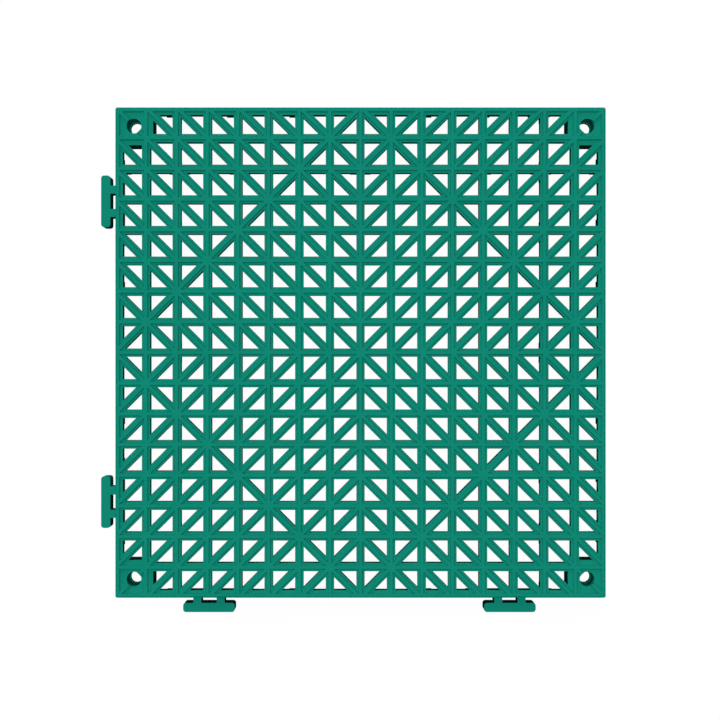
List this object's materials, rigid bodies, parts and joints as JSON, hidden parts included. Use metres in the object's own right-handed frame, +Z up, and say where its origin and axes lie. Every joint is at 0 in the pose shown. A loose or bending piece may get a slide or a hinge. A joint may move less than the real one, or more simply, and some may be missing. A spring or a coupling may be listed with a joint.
{
  "type": "interlocking drainage tile",
  "caption": "Square moulded plastic floor tile of crossed and diagonal ribs with drain holes, corner screw posts, short feet and T-shaped clips on two sides.",
  "frame": {"origin": "middle of the square tile, clips left out, on the floor under its feet", "axes": "+Z up from the floor to the ribbed top, +X towards the right side and +Y towards the back side; the clips are on the -X and -Y sides"},
  "size_m": [0.3099, 0.3099, 0.013],
  "materials": {
    "plastic": "smooth moulded, teal green"
  },
  "bodies": {
    "root": {"drainage_tile": "plastic"}
  },
  "joints": []
}
